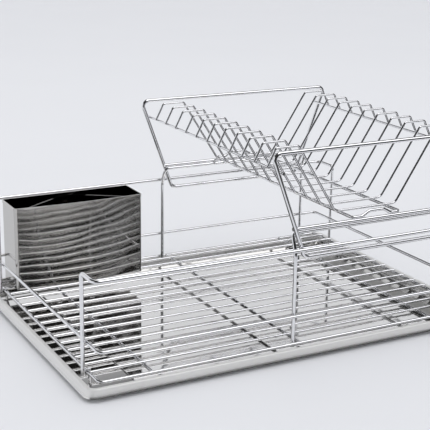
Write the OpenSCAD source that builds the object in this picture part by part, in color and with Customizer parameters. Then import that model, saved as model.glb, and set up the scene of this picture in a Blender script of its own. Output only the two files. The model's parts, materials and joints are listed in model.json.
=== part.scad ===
// Two-level dish drying rack: a pressed drip tray, a welded wire rack standing in it,
// a lift-off upper plate rack hung on two arches, and a sheet metal cutlery holder.
// Millimetres. X runs along the rack, Y from front to back, Z up.
// The origin is at the middle of the tray's underside.

/* [Drip tray] */
// Outside length of the tray
tray_length = 480; // [470:5:520]
// Outside depth of the tray
tray_depth = 343; // [342:1:370]
// Height of the crown of the rim above the table
tray_height = 13; // [12.5:0.5:16]
// Thickness of the pressed sheet
tray_sheet = 0.8; // [0.6:0.1:1]

/* [Lower rack] */
// Length between the centre lines of the wire loops at the two ends
rack_length = 446; // [440:2:448]
// Depth between the centre lines of the wire loops at front and back
rack_depth = 320; // [316:1:322]
// Height of the lower loop above the table
lower_loop_z = 15; // [14:0.5:17]
// Height of the middle loop above the table
middle_loop_z = 45; // [40:1:60]
// Height of the top rails above the table
top_rail_z = 115; // [105:1:120]
// Diameter of the wire of the two loops
loop_wire = 3.5; // [3:0.1:4]
// Diameter of the wire of the top rails and arches
rail_wire = 4; // [3.6:0.1:4.2]
// Diameter of the long wires that form the floor of the rack
grid_wire = 3; // [2.5:0.1:3.2]
// Number of long floor wires
grid_count = 15; // [11:2:15]
// Spacing of the long floor wires
grid_pitch = 20; // [16:0.5:20]

/* [Upper plate rack] */
// Distance of the upper rack from the middle of the lower rack
upper_x = 95; // [80:1:100]
// Diameter of the wire of the two end frames
frame_wire = 4.5; // [4:0.1:4.5]
// Diameter of the wires that hold the plates
plate_wire = 2.5; // [2.2:0.1:2.8]
// Number of plate wires
plate_count = 11; // [7:2:11]
// Spacing of the plate wires
plate_pitch = 26; // [22:0.5:26]

/* [Cutlery holder] */
// Length of the holder
holder_length = 156; // [130:1:160]
// Depth of the holder at its two ends
holder_depth = 45; // [40:1:50]
// Height of the holder
holder_height = 96.3; // [80:0.1:120]
// How far the middle of the front wall bows out
holder_bow = 4; // [2:0.5:6]
// Thickness of the sheet of the holder and its divider
holder_sheet = 0.8; // [0.6:0.1:1]

/* [Hidden] */

$fn = 32;
// Facets of a full turn of a bend in the preview
bend_fn = 64;
// Facets of the widely curved front of the holder in the preview
bow_fn = 720;
// How far two crossing wires sink into each other where they are welded
weld = 0.1;
// Play left where one loose part stands on another
rest_gap = 0.05;
// Butt weld that closes a loop of wire: its length, its rise over the wire and the gap it fills
butt_bead = 2;
butt_rise = 0.3;
butt_gap = 0.2;
// How far a straight run reaches into the bends beside it, and how much fuller the bends are
bend_overlap = 0.15;
bend_swell = 0.01;

// Tray: plan radius of its corners and the run of its wall and rim in section
tray_corner = 13;
rim_skirt_z = 4;
rim_crown_out = 3.4;
rim_crown_in = 7.2;
wall_foot = 9.6;
rim_bend = 1.6;
wall_bend = 2.4;

// Rack: bend radii, corner posts, feet and cross bars
loop_bend = 6;
rail_end_bend = 8;
post_top_bend = 5;
post_setback = 32.5;
post_bottom_z = 10.5;
rail_inset = 1;
post_x = rack_length / 2 + loop_wire / 2 + rail_wire / 2 - weld;
post_y = rack_depth / 2 - post_setback;
rail_y = rack_depth / 2 - rail_inset;
foot_wire = 3;
foot_chamfer = 0.4;
foot_x = rack_length / 2 - loop_wire / 2 - foot_wire / 2 + weld;
foot_bottom_z = tray_sheet + rest_gap;
foot_top_z = lower_loop_z + loop_wire / 2;
floor_z = lower_loop_z + loop_wire / 2 + grid_wire / 2 - weld;
cross_bar_spread = 167;
cross_bar_half = rack_depth / 2 - loop_wire / 2 + weld;

// Arches: upright on the rack's front or back, then leaning in over it
arch_half = 102;
arch_y = rack_depth / 2 - loop_wire / 2 - rail_wire / 2 + weld;
arch_bottom_z = 11;
arch_knee_z = top_rail_z - 4.1;
arch_top_y = arch_y - 7.75;
arch_top_z = top_rail_z + 16.2;
arch_knee_bend = 10;
arch_corner_bend = 7;

// Upper rack: its end frames stand just inside the top rails, hung by bars on the arches
frame_y = rail_y - 5.3;
frame_bottom = 179.8;
frame_top = 262.6;
frame_bottom_z = 105.5;
frame_top_z = 216.5;
frame_bend = 7;
frame_slope = (frame_top - frame_bottom) / 2 / (frame_top_z - frame_bottom_z);
hanging_wire = 4;
hanging_y = frame_y - frame_wire / 2 - hanging_wire / 2 + weld;
hanging_reach = (rail_wire + hanging_wire) / 2 + rest_gap;
hanging_z = arch_top_z + sqrt(pow(hanging_reach, 2) - pow(hanging_y - arch_top_y, 2));
hanging_half = frame_half(hanging_z) + 1;
base_wire = 3.5;
base_half = 30;
base_z = hanging_z + hanging_wire / 2 + base_wire / 2 - weld;
base_bend = 4;
hump_height = 5;
hump_foot = 18;
hump_top = 9;
hump_bend = 6;
plate_low_z = base_z + base_wire / 2 + plate_wire / 2 - weld;
plate_low_half = 38.5;
plate_top_z = frame_top_z - 0.5;
plate_top_in = 86.5;
plate_top_out = 113;
plate_end_out = 122.7;
plate_end_z = plate_top_z - 18.9;
plate_bend_low = 8;
plate_bend_top = 4;
plate_rail_wire = 3;
plate_rail_z = plate_top_z - 19.4;
leg_lean = atan(frame_slope);
leg_offset = (frame_wire / 2 + plate_rail_wire / 2 - weld) / cos(leg_lean);
plate_rail_half = frame_half(plate_rail_z) - leg_offset;
plate_rail_end = frame_y + 4;

// Cutlery holder: a box in the back left corner, standing on the floor wires
holder_x = -136.6;
holder_back = 149;
holder_front = holder_back - holder_depth;
holder_bottom_z = floor_z + grid_wire / 2 + rest_gap;
holder_corner = 3;
holder_rim_height = 3;
holder_rim_proud = 0.5;
bow_radius = (pow(holder_length / 2, 2) + pow(holder_bow, 2)) / (2 * holder_bow);
bow_centre = holder_front - holder_bow + bow_radius;
drain_hole = 6;
drain_pitch_x = 14;
drain_pitch_y = 13;
drain_columns = 9;
drain_rows = 3;
divider_top_gap = 3;
divider_inset = 8;
divider_front_gap = 1.5;
divider_fold = 12;
divider_bend = 2;

// Half the width between the centre lines of an end frame's legs at a height
function frame_half(z) = frame_bottom / 2 + frame_slope * (z - frame_bottom_z);

function unit(v) = v / norm(v);

// Angle through which a path turns at its middle point
function turn(before, here, after) = acos(unit(here - before) * unit(after - here));

// Length that a round bend takes off each straight run beside it
function cutback(before, here, after, bend) = bend * tan(turn(before, here, after) / 2);

// Direction from a bend towards the inside of its curve
function inside_of(before, here, after) =
    let (along = unit(here - before), out = unit(after - here))
        unit(out - along * (out * along));

// Angle about the heading from the plane of one bend to the plane of the next
function roll(p, i) =
    i == 1 ? 0 :
    let (
        angle = turn(p[i - 2], p[i - 1], p[i]),
        heading = unit(p[i] - p[i - 1]),
        carried = inside_of(p[i - 2], p[i - 1], p[i]) * cos(angle)
            - unit(p[i - 1] - p[i - 2]) * sin(angle),
        next = inside_of(p[i - 1], p[i], p[i + 1])
    )
        atan2(cross(carried, next) * heading, carried * next);

// Length of the straight run from point i of a path to the next point, less its bends
function run_length(p, bends, i) =
    norm(p[i + 1] - p[i])
        - (i > 0 ? cutback(p[i - 1], p[i], p[i + 1], bends[i]) : 0)
        - (i < len(p) - 2 ? cutback(p[i], p[i + 1], p[i + 2], bends[i + 1]) : 0);

// Puts its children in a frame given by its x and z axes and its origin
module place(x, z, origin) {
    y = cross(z, x);
    multmatrix([
        [x[0], y[0], z[0], origin[0]],
        [x[1], y[1], z[1], origin[1]],
        [x[2], y[2], z[2], origin[2]],
        [0, 0, 0, 1]
    ]) children();
}

// Straight round rod between two points
module rod(start, end, thickness) {
    z = unit(end - start);
    side = abs(z[2]) < 0.9 ? [0, 0, 1] : [1, 0, 0];
    place(unit(cross(side, z)), z, start)
        cylinder(h = norm(end - start), d = thickness);
}

// Round bend of a wire about the origin, from the -X side towards +Z
module elbow(angle, bend, thickness) {
    reach = bend + thickness;
    difference() {
        rotate([90, 0, 180])
            rotate_extrude(angle = 180, $fn = bend_fn)
                translate([bend, 0]) circle(d = thickness);
        rotate([0, angle, 0])
            translate([-reach, -thickness, 0]) cube([2 * reach, 2 * thickness, reach]);
    }
}

// The rest of a bent wire from its run i on, drawn from the origin along +Z
module wire_run(path, thickness, bends, i = 0) {
    length = run_length(path, bends, i);
    before = i > 0 ? bend_overlap : 0;
    beyond = i < len(path) - 2 ? bend_overlap : 0;
    translate([0, 0, -before]) cylinder(h = before + length + beyond, d = thickness);
    if (i < len(path) - 2) {
        bend = bends[i + 1];
        angle = turn(path[i], path[i + 1], path[i + 2]);
        translate([0, 0, length])
            rotate(roll(path, i + 1))
                translate([bend, 0, 0]) {
                    elbow(angle, bend, thickness + 2 * bend_swell);
                    rotate([0, angle, 0])
                        translate([-bend, 0, 0])
                            wire_run(path, thickness, bends, i + 1);
                }
    }
}

// Wire bent through a row of points, with a bend radius for each point between its ends
module wire(path, thickness, bends) {
    place(inside_of(path[0], path[1], path[2]), unit(path[1] - path[0]), path[0])
        wire_run(path, thickness, bends);
}

// Wire bent to a closed loop, butt-welded in the middle of its first run
module closed_wire(corners, thickness, bends) {
    count = len(corners);
    middle = (corners[0] + corners[1]) / 2;
    along = unit(corners[1] - corners[0]);
    path = concat(
        [middle + along * butt_gap],
        [for (i = [1:count]) corners[i % count]],
        [middle - along * butt_gap]
    );
    wire(path, thickness, concat([0], [for (i = [1:count]) bends[i % count]], [0]));
    rod(middle - along * butt_bead / 2, middle + along * butt_bead / 2, thickness + butt_rise);
}

// Extrudes its children to a height, or leaves them flat where the height is 0
module raised(height) {
    if (height > 0) linear_extrude(height = height) children();
    else children();
}

// The rest of a bent strip of sheet from its run i on, drawn from the origin along +X
module strip_run(path, thickness, bends, height, i = 0) {
    length = run_length(path, bends, i);
    swell = height > 0 ? bend_swell : 0;
    before = i > 0 && height > 0 ? bend_overlap : 0;
    beyond = i < len(path) - 2 && height > 0 ? bend_overlap : 0;
    raised(height) translate([-before, -thickness / 2]) square([before + length + beyond, thickness]);
    if (i < len(path) - 2) {
        bend = bends[i + 1];
        along = path[i + 1] - path[i];
        out = path[i + 2] - path[i + 1];
        angle = turn(path[i], path[i + 1], path[i + 2]);
        way = along[0] * out[1] > along[1] * out[0] ? 0 : 1;
        reach = bend + thickness;
        translate([length, 0])
            mirror([0, way, 0])
                translate([0, bend]) {
                    raised(height)
                        difference() {
                            circle(r = bend + thickness / 2 + swell);
                            circle(r = bend - thickness / 2 - swell);
                            translate([-reach, -reach]) square([reach, 2 * reach]);
                            rotate(angle) translate([0, -reach]) square([reach, 2 * reach]);
                        }
                    rotate(angle)
                        translate([0, -bend])
                            mirror([0, way, 0])
                                strip_run(path, thickness, bends, height, i + 1);
                }
    }
}

// Strip of sheet bent through a row of points: a flat section, or upright with a height
module bent_strip(path, thickness, bends, height = 0) {
    first = path[1] - path[0];
    translate(path[0])
        rotate(atan2(first[1], first[0]))
            strip_run(path, thickness, bends, height);
}

// Section of the tray from its floor, over the wall and crown, to the edge of the skirt
module tray_section() {
    half = tray_sheet / 2;
    bent_strip(
        [
            [0, half],
            [tray_corner - wall_foot, half],
            [tray_corner - rim_crown_in, tray_height - half],
            [tray_corner - rim_crown_out, tray_height - half],
            [tray_corner - half, rim_skirt_z]
        ],
        tray_sheet,
        [0, wall_bend, rim_bend, rim_bend, 0]
    );
}

// One straight side of the tray, drawn along +Y at the right-hand end
module tray_side(length) {
    rotate([90, 0, 0])
        translate([0, 0, -length / 2])
            linear_extrude(height = length) tray_section();
}

module drip_tray() {
    flat_x = tray_length / 2 - tray_corner;
    flat_y = tray_depth / 2 - tray_corner;
    color("silver") {
        translate([-flat_x, -flat_y, 0]) cube([2 * flat_x, 2 * flat_y, tray_sheet]);
        for (side = [0, 180]) {
            rotate(side) translate([flat_x, 0, 0]) tray_side(2 * flat_y);
            rotate(side + 90) translate([flat_y, 0, 0]) tray_side(2 * flat_x);
        }
        for (corner = [[1, 1, 0], [-1, 1, 90], [-1, -1, 180], [1, -1, 270]])
            translate([corner[0] * flat_x, corner[1] * flat_y, 0])
                rotate(corner[2])
                    rotate_extrude(angle = 90, $fn = bend_fn) tray_section();
    }
}

// Closed rectangular loop of wire that goes round the rack at one height
module rack_loop(z) {
    x = rack_length / 2;
    y = rack_depth / 2;
    closed_wire(
        [[x, y, z], [-x, y, z], [-x, -y, z], [x, -y, z]],
        loop_wire,
        [loop_bend, loop_bend, loop_bend, loop_bend]
    );
}

module lower_loop() color("silver") rack_loop(lower_loop_z);

module middle_loop() color("silver") rack_loop(middle_loop_z);

// Top rail of one long side, made in one with its two corner posts.
// side is -1 for the front and 1 for the back.
module top_rail(side) {
    z = top_rail_z;
    wire(
        [
            [side * post_x, side * post_y, post_bottom_z],
            [side * post_x, side * post_y, z],
            [side * post_x, side * rail_y, z],
            [-side * post_x, side * rail_y, z],
            [-side * post_x, side * post_y, z],
            [-side * post_x, side * post_y, post_bottom_z]
        ],
        rail_wire,
        [0, post_top_bend, rail_end_bend, rail_end_bend, post_top_bend, 0]
    );
}

module front_top_rail() color("silver") top_rail(-1);

module back_top_rail() color("silver") top_rail(1);

// Arch that carries one end of the upper rack
module arch(side) {
    left = upper_x - arch_half;
    right = upper_x + arch_half;
    wire(
        [
            [left, side * arch_y, arch_bottom_z],
            [left, side * arch_y, arch_knee_z],
            [left, side * arch_top_y, arch_top_z],
            [right, side * arch_top_y, arch_top_z],
            [right, side * arch_y, arch_knee_z],
            [right, side * arch_y, arch_bottom_z]
        ],
        rail_wire,
        [0, arch_knee_bend, arch_corner_bend, arch_corner_bend, arch_knee_bend, 0]
    );
}

module front_arch() color("silver") arch(-1);

module back_arch() color("silver") arch(1);

// Long wires that the dishes stand on, lying on the ends of the lower loop
module floor_wires() {
    half = rack_length / 2 + 1;
    color("silver")
        for (i = [0:grid_count - 1]) {
            y = (i - (grid_count - 1) / 2) * grid_pitch;
            rod([-half, y, floor_z], [half, y, floor_z], grid_wire);
        }
}

// Bars under the long floor wires, between the front and the back of the lower loop
module floor_cross_bars() {
    color("silver")
        for (x = [-cross_bar_spread, 0, cross_bar_spread])
            rod([x, -cross_bar_half, lower_loop_z], [x, cross_bar_half, lower_loop_z], loop_wire);
}

// Short pegs beside the corner posts that stand the rack on the floor of the tray
module rack_feet() {
    radius = foot_wire / 2;
    length = foot_top_z - foot_bottom_z;
    color("silver")
        for (x = [-foot_x, foot_x], y = [-post_y, post_y])
            translate([x, y, foot_bottom_z])
                rotate_extrude()
                    polygon([
                        [0, 0],
                        [radius - foot_chamfer, 0],
                        [radius, foot_chamfer],
                        [radius, length],
                        [0, length]
                    ]);
}

// Closed frame at one end of the upper rack, wider at its top than at its bottom
module end_frame(side) {
    y = side * frame_y;
    closed_wire(
        [
            [upper_x + side * frame_bottom / 2, y, frame_bottom_z],
            [upper_x - side * frame_bottom / 2, y, frame_bottom_z],
            [upper_x - side * frame_top / 2, y, frame_top_z],
            [upper_x + side * frame_top / 2, y, frame_top_z]
        ],
        frame_wire,
        [frame_bend, frame_bend, frame_bend, frame_bend]
    );
}

module front_end_frame() color("silver") end_frame(-1);

module back_end_frame() color("silver") end_frame(1);

// Bar across the legs of an end frame, by which the upper rack hangs on an arch
module hanging_bar(side) {
    y = side * hanging_y;
    rod([upper_x - hanging_half, y, hanging_z], [upper_x + hanging_half, y, hanging_z], hanging_wire);
}

module front_hanging_bar() color("silver") hanging_bar(-1);

module back_hanging_bar() color("silver") hanging_bar(1);

// One plate wire: down from the left shoulder, across the middle and up to the right one
module one_plate_wire(y) {
    right_half = [
        [plate_low_half, plate_low_z],
        [plate_top_in, plate_top_z],
        [plate_top_out, plate_top_z],
        [plate_end_out, plate_end_z]
    ];
    left = [for (i = [3:-1:0]) [upper_x - right_half[i][0], y, right_half[i][1]]];
    right = [for (point = right_half) [upper_x + point[0], y, point[1]]];
    bends = [0, plate_bend_top, plate_bend_top, plate_bend_low];
    wire(
        concat(left, right),
        plate_wire,
        concat(bends, [for (i = [3:-1:0]) bends[i]])
    );
}

module plate_wires() {
    color("silver")
        for (i = [0:plate_count - 1])
            one_plate_wire((i - (plate_count - 1) / 2) * plate_pitch);
}

// Rail along the ends of the plate wires, inside the legs of both end frames
module plate_rail(side) {
    x = upper_x + side * plate_rail_half;
    rod([x, -plate_rail_end, plate_rail_z], [x, plate_rail_end, plate_rail_z], plate_rail_wire);
}

module left_plate_rail() color("silver") plate_rail(-1);

module right_plate_rail() color("silver") plate_rail(1);

// Closed frame under the plate wires; its ends lie on the hanging bars and rise in a low hump
module plate_base_frame() {
    low = base_z;
    high = base_z + hump_height;
    back_end = [
        [base_half, hanging_y, low],
        [hump_foot, hanging_y, low],
        [hump_top, hanging_y, high],
        [-hump_top, hanging_y, high],
        [-hump_foot, hanging_y, low],
        [-base_half, hanging_y, low]
    ];
    front_end = [for (point = back_end) [-point[0], -point[1], point[2]]];
    rail_start = [base_half, -hanging_y, low];
    corners = concat([rail_start], back_end, [for (i = [0:4]) front_end[i]]);
    bends = [base_bend, hump_bend, hump_bend, hump_bend, hump_bend, base_bend];
    color("silver")
        translate([upper_x, 0, 0])
            closed_wire(corners, base_wire, concat([base_bend], bends, [for (i = [0:4]) bends[i]]));
}

// Plan of the holder grown by an amount: straight back and ends, bowed front, round corners
module holder_plan(grow) {
    half = holder_length / 2;
    radius = holder_corner + grow;
    front_x = half - holder_corner;
    front_y = bow_centre - sqrt(pow(bow_radius - holder_corner, 2) - pow(front_x, 2));
    back_y = holder_back - holder_corner;
    reach = 1.1;
    intersection() {
        translate([0, bow_centre]) circle(r = bow_radius + grow, $fn = bow_fn);
        polygon([
            [0, bow_centre],
            [-front_x * reach, bow_centre + (front_y - bow_centre) * reach],
            [front_x * reach, bow_centre + (front_y - bow_centre) * reach]
        ]);
        translate([-half, front_y - 2 * holder_bow - radius])
            square([holder_length, back_y - front_y + 2 * holder_bow + radius]);
    }
    translate([-half - grow, front_y]) square([holder_length + 2 * grow, back_y - front_y]);
    translate([-front_x, front_y]) square([2 * front_x, holder_back + grow - front_y]);
    for (x = [-front_x, front_x], y = [front_y, back_y])
        translate([x, y]) circle(r = radius);
}

module cutlery_box() {
    rim_z = holder_height - holder_rim_height;
    color("dimgray")
        translate([holder_x, 0, holder_bottom_z]) {
            difference() {
                union() {
                    linear_extrude(height = rim_z) holder_plan(0);
                    translate([0, 0, rim_z])
                        linear_extrude(height = holder_rim_height) holder_plan(holder_rim_proud);
                }
                translate([0, 0, holder_sheet])
                    linear_extrude(height = holder_height) holder_plan(-holder_sheet);
                for (i = [0:drain_columns - 1], j = [0:drain_rows - 1])
                    translate([
                        (i - (drain_columns - 1) / 2) * drain_pitch_x,
                        (holder_front + holder_back) / 2 + (j - (drain_rows - 1) / 2) * drain_pitch_y,
                        -holder_sheet
                    ])
                        cylinder(h = 3 * holder_sheet, d = drain_hole);
            }
        }
}

// Sheet folded to a V, spot-welded to the middle of the holder's back wall
module cutlery_divider() {
    back = holder_back - holder_sheet * 1.5;
    arm_x = holder_length / 2 - divider_inset;
    arm_y = holder_front + divider_front_gap;
    fold_x = divider_fold / 2;
    color("dimgray")
        translate([holder_x, 0, holder_bottom_z + holder_sheet])
            bent_strip(
                [[-arm_x, arm_y], [-fold_x, back], [fold_x, back], [arm_x, arm_y]],
                holder_sheet,
                [0, divider_bend, divider_bend, 0],
                holder_height - holder_sheet - divider_top_gap
            );
}

drip_tray();
lower_loop();
middle_loop();
front_top_rail();
back_top_rail();
front_arch();
back_arch();
floor_wires();
floor_cross_bars();
rack_feet();
front_end_frame();
back_end_frame();
front_hanging_bar();
back_hanging_bar();
plate_wires();
left_plate_rail();
right_plate_rail();
plate_base_frame();
cutlery_box();
cutlery_divider();
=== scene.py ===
import json
import math

import bpy
from mathutils import Matrix, Vector


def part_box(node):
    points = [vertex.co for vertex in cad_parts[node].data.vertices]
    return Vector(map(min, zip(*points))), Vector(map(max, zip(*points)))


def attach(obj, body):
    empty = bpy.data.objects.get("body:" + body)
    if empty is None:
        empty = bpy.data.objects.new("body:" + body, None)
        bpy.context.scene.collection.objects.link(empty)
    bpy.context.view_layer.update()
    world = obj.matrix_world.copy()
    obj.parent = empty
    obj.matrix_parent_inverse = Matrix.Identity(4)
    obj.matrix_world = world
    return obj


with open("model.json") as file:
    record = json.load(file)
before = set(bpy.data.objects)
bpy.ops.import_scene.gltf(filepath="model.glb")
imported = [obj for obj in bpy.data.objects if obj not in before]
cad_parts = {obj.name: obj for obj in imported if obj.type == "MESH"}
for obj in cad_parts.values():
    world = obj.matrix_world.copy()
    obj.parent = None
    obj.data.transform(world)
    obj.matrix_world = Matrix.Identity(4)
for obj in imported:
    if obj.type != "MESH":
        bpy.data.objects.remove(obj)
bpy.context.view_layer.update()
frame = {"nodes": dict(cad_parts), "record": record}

MM = 0.001


# Drip tray: one sheet of stainless steel, pressed to a shallow pan with a rolled rim.
# It is polished to a mirror, and shows fine polishing lines along it, faint smears
# and the slow ripples that a thin pressed sheet has.
class Value:
    """A socket of a material, so that sums on it are written as plain expressions."""

    def __init__(self, finish, socket):
        self.finish = finish
        self.socket = socket

    def __add__(self, other):
        return self.finish.math("ADD", self, other)

    def __sub__(self, other):
        return self.finish.math("SUBTRACT", self, other)

    def __mul__(self, other):
        return self.finish.math("MULTIPLY", self, other)

    def __rsub__(self, other):
        return self.finish.math("SUBTRACT", other, self)

    def __pow__(self, other):
        return self.finish.math("POWER", self, other)

    __radd__ = __add__
    __rmul__ = __mul__


class Finish:
    """One material, built node by node on top of its Principled shader."""

    def __init__(self, name):
        self.material = bpy.data.materials.new(name)
        self.material.use_nodes = True
        self.tree = self.material.node_tree
        self.surface = self.tree.nodes["Principled BSDF"]

    def node(self, kind, settings, values, output=0):
        """Adds a node of a kind; its settings are set first, then its sockets' values or links."""
        made = self.tree.nodes.new(kind)
        for key, setting in settings.items():
            if key == "stops":
                for stop, (place, colour) in zip(made.color_ramp.elements, setting):
                    stop.position = place
                    stop.color = colour
            else:
                setattr(made, key, setting)
        for key, value in values.items():
            self.put(made.inputs[key], value)
        return Value(self, made.outputs[output])

    def put(self, socket, value):
        if isinstance(value, Value):
            self.tree.links.new(value.socket, socket)
        else:
            socket.default_value = value

    def shade(self, **values):
        """Sets or links sockets of the Principled shader, such as base_color or roughness."""
        for key, value in values.items():
            self.put(self.surface.inputs[key.replace("_", " ").title()], value)

    def place(self, stretch=(1, 1, 1)):
        """A point of the piece in metres, stretched along its axes."""
        spot = self.node("ShaderNodeTexCoord", {}, {}, "Object")
        return self.node("ShaderNodeMapping", {}, {"Vector": spot, "Scale": stretch})

    def part(self, axis):
        """How far a point of the piece lies along one axis, in metres."""
        return self.node("ShaderNodeSeparateXYZ", {}, {"Vector": self.place()}, axis)

    def math(self, operation, first, second):
        return self.node("ShaderNodeMath", {"operation": operation}, {0: first, 1: second})

    def line(self, value, start, end):
        """0 below the start, 1 above the end and straight between them."""
        return self.node("ShaderNodeMapRange", {}, {"Value": value, "From Min": start, "From Max": end})

    def ramp(self, value, start, end):
        """0 below the start, 1 above the end and smooth between them."""
        return self.node(
            "ShaderNodeMapRange",
            {"interpolation_type": "SMOOTHSTEP"},
            {"Value": value, "From Min": start, "From Max": end},
        )

    def noise(self, scale, detail=2.0, roughness=0.5, stretch=(1, 1, 1)):
        return self.node(
            "ShaderNodeTexNoise",
            {"noise_dimensions": "3D"},
            {"Vector": self.place(stretch), "Scale": scale, "Detail": detail, "Roughness": roughness},
            "Fac",
        )

    def tint(self, mask, low, high):
        """A colour between two, chosen by a mask from 0 to 1."""
        return self.node(
            "ShaderNodeValToRGB",
            {"stops": [(0.0, (*low, 1)), (1.0, (*high, 1))]},
            {"Fac": mask},
            "Color",
        )

    def bump(self, height, depth, under=None):
        """A normal bumped by a height from 0 to 1 that stands for a depth in metres."""
        values = {"Height": height, "Distance": depth, "Strength": 1.0}
        if under is not None:
            values["Normal"] = under
        return self.node("ShaderNodeBump", {}, values, "Normal")


RIPPLE_DEPTH = 0.6 * MM
LINE_DEPTH = 0.003 * MM


def polished_steel(finish, low, high, smear, line_along, shape, metal=1.0):
    """Polished stainless sheet with lines of polishing and smears, bent slowly to a shape."""
    lines = finish.noise(scale=900, detail=3, stretch=line_along)
    smears = finish.noise(scale=9, detail=4, roughness=0.6)
    marks = finish.noise(scale=120, detail=5, roughness=0.7)
    finish.shade(
        base_color=finish.tint(0.6 * smears + 0.4 * lines, low, high),
        metallic=metal,
        roughness=smear + 0.05 * lines * smears + 0.06 * (smears ** 3) + 0.03 * (marks ** 4),
        normal=finish.bump(lines, LINE_DEPTH, finish.bump(shape, 1.0)),
    )
    return finish.material


def give(names, material):
    """Gives CAD nodes a material in every one of their slots."""
    for name in names:
        mesh = frame["nodes"][name].data
        mesh.materials.clear()
        mesh.materials.append(material)


# The wall and the rim are satin, and the pan is a mirror. The pan mirrors as if it fell away
# a little at both ends, up to the foot of the end walls; its shape there is flat.
LINES_ALONG_X = (0.02, 1, 1)
TRAY_DULL = (0.66, 0.655, 0.64)
TRAY_BRIGHT = (0.80, 0.795, 0.785)
TRAY_SMEAR = 0.03
SATIN = 0.42
SATIN_DIMMING = 0.7
SATIN_START_Z = 3 * MM
SATIN_END_Z = 9 * MM
RIM_WIDTH = 10 * MM
END_LENGTH = 50 * MM
END_FALL = 0.12

tray = Finish("tray_steel")
pan_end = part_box("drip_tray")[1].x - RIM_WIDTH
from_middle = tray.math("ABSOLUTE", tray.part("X"), 0.0)
near_end = tray.line(from_middle, pan_end - END_LENGTH, pan_end)
on_rim = tray.ramp(tray.part("Z"), SATIN_START_Z, SATIN_END_Z)
give(["drip_tray"], polished_steel(
    tray, TRAY_DULL, TRAY_BRIGHT, TRAY_SMEAR + SATIN * on_rim, LINES_ALONG_X,
    RIPPLE_DEPTH * tray.noise(scale=7, detail=1) - END_FALL * END_LENGTH * near_end,
    metal=1.0 - SATIN_DIMMING * on_rim,
))


# Wires of the lower rack: steel wire, bent and spot welded, then plated with bright chrome.
# The plating has a faint orange peel and dulls a little where it is thin.
CHROME_DULL = (0.78, 0.785, 0.80)
CHROME_BRIGHT = (0.90, 0.90, 0.91)
PEEL_DEPTH = 0.01 * MM


def chrome(name):
    """Bright plating over wire: an even mirror, only a little dulled in patches."""
    finish = Finish(name)
    peel = finish.noise(scale=1400, detail=2)
    thin = finish.noise(scale=60, detail=3, roughness=0.6)
    finish.shade(
        base_color=finish.tint(thin, CHROME_DULL, CHROME_BRIGHT),
        metallic=1.0,
        roughness=0.05 + 0.09 * (thin ** 2) + 0.02 * peel,
        normal=finish.bump(peel, PEEL_DEPTH),
    )
    return finish.material


bodies = frame["record"]["behaviour"]["bodies"]
bright_chrome = chrome("bright_chrome")
give(bodies["rack"], bright_chrome)


# Welds of the lower rack: small beads of metal in the crotch of each crossing, left by
# spot welding and plated over with the wires. One bead is shaped and then copied.
BEAD_FLATNESS = 0.8


def pick_none():
    bpy.ops.object.select_all(action="DESELECT")


def make_bead(radius):
    """One squashed bead of weld metal at the origin."""
    pick_none()
    bpy.ops.mesh.primitive_ico_sphere_add(subdivisions=2, radius=radius)
    bead = bpy.context.object
    bpy.ops.object.mode_set(mode="EDIT")
    bpy.ops.mesh.select_all(action="SELECT")
    bpy.ops.transform.resize(value=(1, 1, BEAD_FLATNESS))
    bpy.ops.mesh.faces_shade_smooth()
    bpy.ops.object.mode_set(mode="OBJECT")
    return bead


def welds(name, spots, radius, body):
    """Beads at a list of spots, joined to one piece that rides on a body."""
    pattern = make_bead(radius)
    copies = []
    for spot in spots:
        copy = pattern.copy()
        copy.data = pattern.data.copy()
        copy.data.transform(Matrix.Translation(spot))
        bpy.context.collection.objects.link(copy)
        copies.append(copy)
    bpy.data.objects.remove(pattern)
    pick_none()
    for copy in copies:
        copy.select_set(True)
    bpy.context.view_layer.objects.active = copies[0]
    bpy.ops.object.join()
    joined = bpy.context.object
    joined.name = name
    joined.data.materials.clear()
    joined.data.materials.append(bright_chrome)
    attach(joined, body)


def row(low, high, count, radius):
    """Centres of a row of like wires whose outer edges are low and high."""
    step = (high - low - 2 * radius) / (count - 1)
    return [low + radius + step * i for i in range(count)]


# Radii of the wires, and the numbers of floor wires and of bars under them.
rail_r = 2.0 * MM
loop_r = 1.75 * MM
grid_r = 1.5 * MM
FLOOR_WIRES = 15
CROSS_BARS = 3
RACK_BEAD = 1.2 * MM

# Where an arch leans on a top rail, its bead sits inward and down, in radii of the rail.
LEAN_IN = 1.93
LEAN_DOWN = 1.36

sides = (-1, 1)
floor_low, floor_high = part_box("floor_wires")
bars_low, bars_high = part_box("floor_cross_bars")
rail_low, rail_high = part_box("front_top_rail")
arch_low, arch_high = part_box("front_arch")
loop_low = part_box("lower_loop")[0]
levels = (loop_low.z + loop_r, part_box("middle_loop")[0].z + loop_r)
loop_x = -loop_low.x - loop_r
loop_y = -loop_low.y - loop_r
floor_ys = row(floor_low.y, floor_high.y, FLOOR_WIRES, grid_r)
bar_xs = row(bars_low.x, bars_high.x, CROSS_BARS, loop_r)
post_y = rail_r - rail_high.y
arch_xs = (arch_low.x + rail_r, arch_high.x - rail_r)
lean_y = -rail_low.y - LEAN_IN * rail_r
lean_z = rail_high.z - LEAN_DOWN * rail_r

spots = [Vector((x, y, floor_low.z)) for x in (-loop_x, *bar_xs, loop_x) for y in floor_ys]
spots += [Vector((s * (loop_x + loop_r), t * post_y, z)) for s in sides for t in sides for z in levels]
spots += [Vector((s * (loop_x - loop_r), t * post_y, levels[0])) for s in sides for t in sides]
spots += [Vector((x, t * (loop_y - loop_r), z)) for x in arch_xs for t in sides for z in levels]
spots += [Vector((x, t * lean_y, lean_z)) for x in arch_xs for t in sides]
welds("rack_welds", spots, RACK_BEAD, "rack")


# Upper plate rack: two end frames, their hanging bars, the plate wires and the rails that
# tie them together, welded to one unit of the same bright chromed wire.
def middle(low, high):
    return (low + high) / 2


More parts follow.
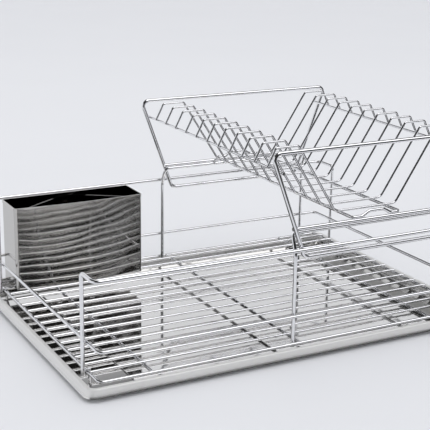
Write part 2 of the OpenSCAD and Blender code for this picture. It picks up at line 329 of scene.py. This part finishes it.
# The beads of the plate wires lie a little up on the plate rails. The hanging bars are
# welded at their very ends, and to the base frame inside its rounded corners.
PLATE_WIRES = 11
UPPER_BEAD = 1.0 * MM
BEAD_RISE = 0.3 * MM
BAR_END = 1 * MM
BASE_CORNER = 8 * MM
plate_r = 1.25 * MM
base_r = 1.75 * MM

give(bodies["upper_rack"], bright_chrome)
plates_low, plates_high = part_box("plate_wires")
base_low, base_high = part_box("plate_base_frame")
bar_low, bar_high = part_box("front_hanging_bar")
frame_low, frame_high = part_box("front_end_frame")
left_low, left_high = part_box("left_plate_rail")
plate_ys = row(plates_low.y, plates_high.y, PLATE_WIRES, plate_r)
base_xs = (base_low.x + base_r, base_high.x - base_r)
side_xs = (left_low.x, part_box("right_plate_rail")[1].x)
side_z = middle(left_low.z, left_high.z)
bar_y = -middle(bar_low.y, bar_high.y)
bar_z = middle(bar_low.z, bar_high.z)
leg_xs = (bar_low.x + BAR_END, bar_high.x - BAR_END)
frame_y = -middle(frame_low.y, frame_high.y)
bar_weld_xs = (base_xs[0] + BASE_CORNER, base_xs[1] - BASE_CORNER)

spots = [Vector((x, y, plates_low.z)) for x in base_xs for y in plate_ys]
spots += [Vector((x, y, side_z + BEAD_RISE)) for x in side_xs for y in plate_ys]
spots += [Vector((x, t * bar_y, bar_high.z)) for x in bar_weld_xs for t in sides]
spots += [Vector((x, t * (bar_y + rail_r), bar_z)) for x in leg_xs for t in sides]
spots += [Vector((x, t * frame_y, side_z)) for x in side_xs for t in sides]
welds("upper_rack_welds", spots, UPPER_BEAD, "upper_rack")


# Cutlery holder: a box folded from thin stainless sheet, polished, with a bowed front and a
# hem round its top, and a sheet folded to a V inside it that makes three compartments. Its
# finish mirrors as if the sheet bulged and leaned a little more than its shape does.
HOLDER_DULL = (0.46, 0.45, 0.43)
HOLDER_BRIGHT = (0.60, 0.59, 0.57)
HOLDER_SMEAR = 0.03
HOLDER_LINES = (0.03, 1, 1)
BULGE = 0.45
LEAN = 0.045

holder = Finish("holder_steel")
box_low, box_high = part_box("cutlery_box")
across = holder.part("X") - middle(box_low.x, box_high.x)
warp = LEAN * holder.part("Z") - BULGE * (across * across)
give(bodies["cutlery_holder"], polished_steel(
    holder, HOLDER_DULL, HOLDER_BRIGHT, HOLDER_SMEAR, HOLDER_LINES,
    warp + RIPPLE_DEPTH * holder.noise(scale=16, detail=1),
))


# Studio: a wide sheet of pale paper for a floor, lit evenly by a pale sky and one soft lamp.
# What the steel mirrors is a room of its own: pale walls low at the back, dark above and on
# the viewer's side, and a large soft box overhead. Past the sheet's edge, toward the viewer, the floor
# is a painted shade: near black for every ray but camera rays, so the steel mirrors it dark.
FLOOR_SIZE = 30.0
PAPER_EDGE_Y = -0.42
EDGE_BLUR = 0.15
PAPER_DULL = (0.765, 0.77, 0.79)
PAPER_BRIGHT = (0.785, 0.79, 0.81)
# Painted shade: the near black colour of the floor past the paper's edge, seen only in reflections.
PAINTED_SHADE_PAST_PAPER = (0.03, 0.03, 0.03, 1)
PALE_WALL = (0.84, 0.85, 0.88, 1)
DARK_WALL = (0.02, 0.02, 0.02, 1)
UPPER_WALL = (0.05, 0.05, 0.05, 1)
SOFT_BOX = (1.9, 1.9, 1.95, 1)
PALE_SKY = (0.93, 0.94, 0.965, 1)
MIX_AMOUNT, MIX_FIRST, MIX_SECOND, MIX_COLOUR = 0, 6, 7, 2


def blended(finish, amount, colour, other):
    """One colour where the amount is 0 and another where it is 1."""
    sockets = {MIX_AMOUNT: amount, MIX_FIRST: colour, MIX_SECOND: other}
    return finish.node("ShaderNodeMix", {"data_type": "RGBA"}, sockets, MIX_COLOUR)


def sort_of_ray(finish, sort):
    """1 for rays of one sort and 0 for the others."""
    return finish.node("ShaderNodeLightPath", {}, {}, sort)


pick_none()
bpy.ops.mesh.primitive_plane_add(size=FLOOR_SIZE, location=(0, 0, 0))
floor = bpy.context.object
floor.name = "studio_floor"
paper = Finish("pale_paper_and_painted_shade")
# Painted shade mask: past the paper's edge the floor turns near black for every ray but camera rays;
# the camera still sees pale paper there.
before_edge = paper.ramp(paper.part("Y"), PAPER_EDGE_Y - EDGE_BLUR, PAPER_EDGE_Y)
sheet_not_painted_shade = paper.math("MAXIMUM", sort_of_ray(paper, "Is Camera Ray"), before_edge)
sheet = paper.tint(paper.noise(scale=3, detail=3), PAPER_DULL, PAPER_BRIGHT)
paper.shade(base_color=blended(paper, sheet_not_painted_shade, PAINTED_SHADE_PAST_PAPER, sheet), roughness=0.85)
floor.data.materials.append(paper.material)


class Room(Finish):
    """The room round the object, built with the same nodes as a finish."""

    def __init__(self, name):
        self.world = bpy.data.worlds.new(name)
        self.world.use_nodes = True
        self.tree = self.world.node_tree
        self.surface = self.tree.nodes["Background"]

    def toward(self, direction, start, end):
        """1 near a direction of the room and 0 away from it."""
        heading = self.node("ShaderNodeTexCoord", {}, {}, "Generated")
        facing = self.node(
            "ShaderNodeVectorMath",
            {"operation": "DOT_PRODUCT"},
            {0: heading, 1: Vector(direction).normalized()},
            "Value",
        )
        return self.ramp(facing, start, end)


room = Room("soft_room")
beside_viewer = room.toward((0.25, -0.97, 0.15), 0.00, 0.30)
far_corner = room.toward((0.80, 0.58, 0.16), 0.945, 0.965)
upper_room = room.toward((0, 0, 1), 0.43, 0.52)
overhead = room.toward((0.30, -0.42, 0.86), 0.84, 0.90)
light = blended(room, beside_viewer, PALE_WALL, DARK_WALL)
light = blended(room, far_corner, light, DARK_WALL)
light = blended(room, upper_room, light, UPPER_WALL)
light = blended(room, overhead, light, SOFT_BOX)
light = blended(room, sort_of_ray(room, "Is Diffuse Ray"), light, PALE_SKY)
room.shade(color=light, strength=1.0)
bpy.context.scene.world = room.world

LAMP_PLACE = Vector((0.3, 0.8, 2.4))
LAMP_SIZE = 1.6
LAMP_POWER = 6

bpy.ops.object.light_add(type="AREA", location=LAMP_PLACE)
lamp = bpy.context.object
lamp.name = "soft_lamp"
lamp.data.shape = "DISK"
lamp.data.size = LAMP_SIZE
lamp.data.energy = LAMP_POWER
lamp.data.color = (1.0, 0.99, 0.97)
lamp.rotation_euler = (-LAMP_PLACE).to_track_quat("-Z", "Y").to_euler()


# Camera: it stands off the front left corner of the tray, and looks a little down along the
# rack with a long lens. Its turn is from straight ahead to the right, and its tilt is down.
CAMERA_PLACE = Vector((-0.5931, -1.0719, 0.4658))
CAMERA_TURN = math.radians(28.3)
CAMERA_TILT = math.radians(16.2)
CAMERA_ROLL = math.radians(0.9)
SENSOR = 36.0
LENS = 94.7
FARTHEST_SEEN = 100.0

ahead = Vector((
    math.sin(CAMERA_TURN) * math.cos(CAMERA_TILT),
    math.cos(CAMERA_TURN) * math.cos(CAMERA_TILT),
    -math.sin(CAMERA_TILT),
))
level = Vector((math.cos(CAMERA_TURN), -math.sin(CAMERA_TURN), 0))
upright = level.cross(ahead)
right = math.cos(CAMERA_ROLL) * level + math.sin(CAMERA_ROLL) * upright
top = math.cos(CAMERA_ROLL) * upright - math.sin(CAMERA_ROLL) * level
turned = Matrix((right, top, -ahead)).transposed().to_4x4()

bpy.ops.object.camera_add()
camera = bpy.context.object
camera.name = "camera"
camera.matrix_world = Matrix.Translation(CAMERA_PLACE) @ turned
camera.data.sensor_width = SENSOR
camera.data.lens = LENS
camera.data.clip_end = FARTHEST_SEEN
bpy.context.scene.camera = camera
bpy.context.scene.view_settings.view_transform = "Standard"
